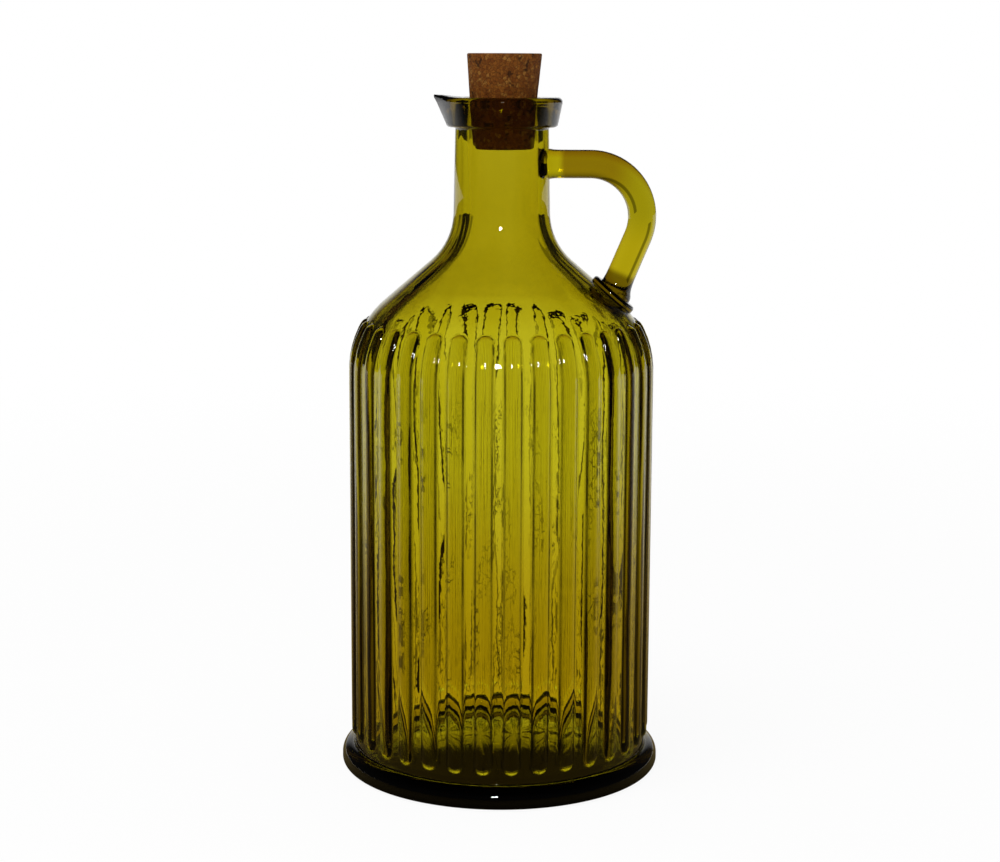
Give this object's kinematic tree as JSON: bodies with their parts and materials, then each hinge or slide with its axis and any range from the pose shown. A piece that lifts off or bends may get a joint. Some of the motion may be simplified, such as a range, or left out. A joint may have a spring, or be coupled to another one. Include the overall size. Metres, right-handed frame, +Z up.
{
  "type": "oil cruet",
  "caption": "Ribbed bottle of thick olive-green glass for cooking oil, with a rod handle, a wide collar with a pouring lip, and a tapered cork stopper.",
  "frame": {"origin": "on the bottle's axis, at the surface that it stands on", "axes": "+Z up along the bottle's axis, +X towards the handle, -X towards the pouring lip"},
  "size_m": [0.127, 0.127, 0.2816],
  "materials": {
    "green_glass": "clear, olive green, glossy, slightly wavy inside",
    "cork": "matt pressed cork granules with small dark pits"
  },
  "bodies": {
    "root": {"glass_bottle": "green_glass", "cork_stopper": "cork"}
  },
  "joints": []
}
